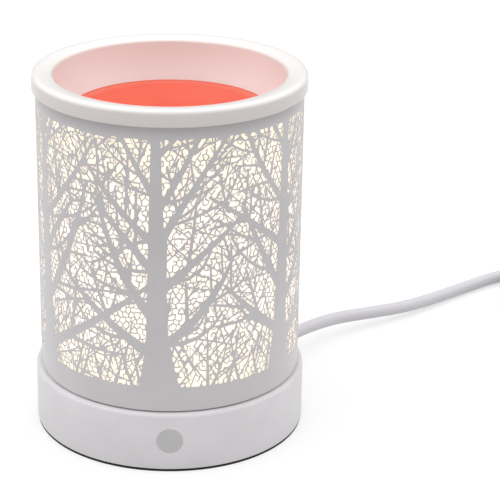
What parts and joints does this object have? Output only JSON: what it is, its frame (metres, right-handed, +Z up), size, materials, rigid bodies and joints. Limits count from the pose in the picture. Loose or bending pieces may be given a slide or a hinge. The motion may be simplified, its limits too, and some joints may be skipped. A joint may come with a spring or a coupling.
{
  "type": "wax melt warmer",
  "caption": "Electric wax melt warmer: pierced drum shade on a round touch base, with a lift-out dish of melted wax, a reflector lamp inside, and a mains cord with a fused plug.",
  "frame": {"origin": "centre of the base at floor level, without the cord", "axes": "+Z up along the shade's axis; -Y is the front, with the touch spot"},
  "size_m": [0.3253, 0.2129, 0.1548],
  "materials": {
    "base_paint": "satin light grey paint",
    "shade_paint": "satin off-white paint",
    "grey_print": "matt grey touch spot",
    "foot_foam": "black foam rubber",
    "zinc_steel": "zinc-plated",
    "white_plastic": "white",
    "frosted_sheet": "translucent frosted sheet",
    "glaze": "white glaze",
    "wax": "melted coral-red wax",
    "porcelain": "unglazed technical ceramic",
    "lamp_glass": "clear glass",
    "reflector_glass": "dichroic-coated glass",
    "brass": "brass",
    "black_plastic": "black",
    "foam_tape": "adhesive foam pad",
    "circuit_board": "glass-fibre board with parts",
    "cord_sheath": "soft off-white sheath",
    "brown_blue_wire": "wire insulation",
    "fuse_body": "fuse tube with metal caps"
  },
  "bodies": {
    "base": {"base_housing": "base_paint", "base_pillars": "zinc_steel", "base_plate": "black_plastic", "base_plate_screws": "zinc_steel", "bracket_nuts": "zinc_steel", "bracket_screws": "zinc_steel", "coil_tie": "white_plastic", "cord_bush": "white_plastic", "cord_coil": "cord_sheath", "cord_cores": "brown_blue_wire", "cord_free": "cord_sheath", "cord_tail": "cord_sheath", "diffuser_liner": "frosted_sheet", "dimmer_board": "circuit_board", "dimmer_case": "black_plastic", "dimmer_leads": "brown_blue_wire", "dimmer_pad": "foam_tape", "foot_ring": "foot_foam", "holder_contacts": "brass", "holder_nuts": "zinc_steel", "holder_screws": "zinc_steel", "inner_cord": "cord_sheath", "lamp_bracket": "zinc_steel", "lamp_holder": "porcelain", "lamp_leads": "brown_blue_wire", "pierced_shade": "shade_paint", "plug_body": "white_plastic", "plug_boot": "white_plastic", "plug_earth_pin": "white_plastic", "plug_pins": "brass", "sense_lead": "brown_blue_wire", "sense_tag": "brass", "shade_collar": "zinc_steel", "shade_nuts": "zinc_steel", "shade_screws": "zinc_steel", "splice_connectors": "white_plastic", "touch_spot": "grey_print"},
    "dish": {"wax_dish": "glaze", "wax_pool": "wax"},
    "lamp": {"lamp_base": "porcelain", "lamp_pins": "brass", "lamp_reflector": "reflector_glass", "lamp_glass": "lamp_glass", "lamp_capsule": "lamp_glass"},
    "fuse_carrier": {"plug_fuse_carrier": "white_plastic", "plug_fuse": "fuse_body"}
  },
  "joints": [
    {"name": "dish_lift", "type": "slide", "parent": "base", "child": "dish", "axis": [0, 0, 1], "range_m": [0, 0.06]},
    {"name": "lamp_twist", "type": "hinge", "parent": "base", "child": "lamp", "pos_m": [0, 0, 0.0312], "axis": [0, 0, 1], "range_deg": [0, 45]},
    {"name": "fuse_carrier_slide", "type": "slide", "parent": "base", "child": "fuse_carrier", "axis": [0, 0, 1], "range_m": [0, 0.012]}
  ]
}
